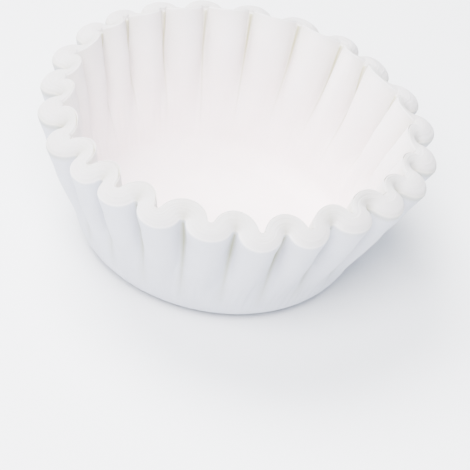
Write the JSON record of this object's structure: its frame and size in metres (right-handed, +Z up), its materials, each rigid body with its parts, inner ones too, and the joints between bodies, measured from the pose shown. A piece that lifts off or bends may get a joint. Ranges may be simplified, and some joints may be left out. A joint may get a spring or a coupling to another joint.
{
  "type": "paper coffee filter",
  "caption": "Fluted basket coffee filter in white paper: a nested sleeve pressed into a flat round base and a tall pleated wall with a soft layered rim.",
  "frame": {"origin": "centre of the flat underside", "axes": "+Z up along the filter's axis, out of its open mouth; +X and +Y lie in the underside"},
  "size_m": [0.1794, 0.1804, 0.0736],
  "materials": {
    "paper": "matt crepe"
  },
  "bodies": {
    "root": {"filter": "paper"}
  },
  "joints": []
}
